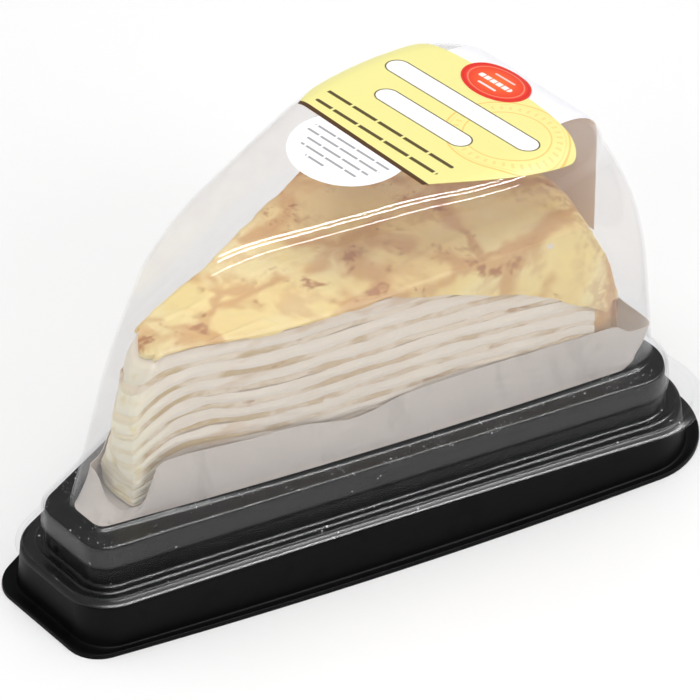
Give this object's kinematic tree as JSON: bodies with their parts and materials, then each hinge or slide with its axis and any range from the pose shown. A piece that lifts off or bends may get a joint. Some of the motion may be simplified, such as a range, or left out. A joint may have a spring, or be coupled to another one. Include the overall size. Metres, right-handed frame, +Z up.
{
  "type": "crepe cake slice in a clear lidded pack",
  "caption": "Wedge slice of layered crepe cake on liner paper and a black tray, closed under a clear domed lid with a fan label, a seal strip and two oval stickers.",
  "frame": {"origin": "middle of the footprint, on the surface the tray stands on", "axes": "+X from the slice's tip to its wide rim, +Z up, -Y towards the side shown"},
  "size_m": [0.1334, 0.095, 0.0706],
  "materials": {
    "black_tray": "satin black thermoformed plastic",
    "clear_lid": "clear thermoformed plastic",
    "liner_paper": "matt translucent paper",
    "top_crepe": "soft griddled crepe, pale yellow with browner veins",
    "crepe": "soft crepe, cut edge",
    "cream": "soft pale cream",
    "label_yellow": "glossy label film",
    "label_white": "white label film",
    "sticker_white": "white label film",
    "badge_red": "glossy label film"
  },
  "bodies": {
    "root": {"tray": "black_tray", "lid": "clear_lid", "liner_paper": "liner_paper", "crepe_01_top": "top_crepe", "crepe_02": "crepe", "crepe_03": "crepe", "crepe_04": "crepe", "crepe_05": "crepe", "crepe_06": "crepe", "crepe_07": "crepe", "crepe_08": "crepe", "crepe_09": "crepe", "crepe_10": "crepe", "cream_01": "cream", "cream_02": "cream", "cream_03": "cream", "cream_04": "cream", "cream_05": "cream", "cream_06": "cream", "cream_07": "cream", "cream_08": "cream", "cream_09": "cream", "label_fan": "label_yellow", "seal_strip": "label_white", "care_sticker": "sticker_white", "oval_badge": "badge_red"}
  },
  "joints": []
}
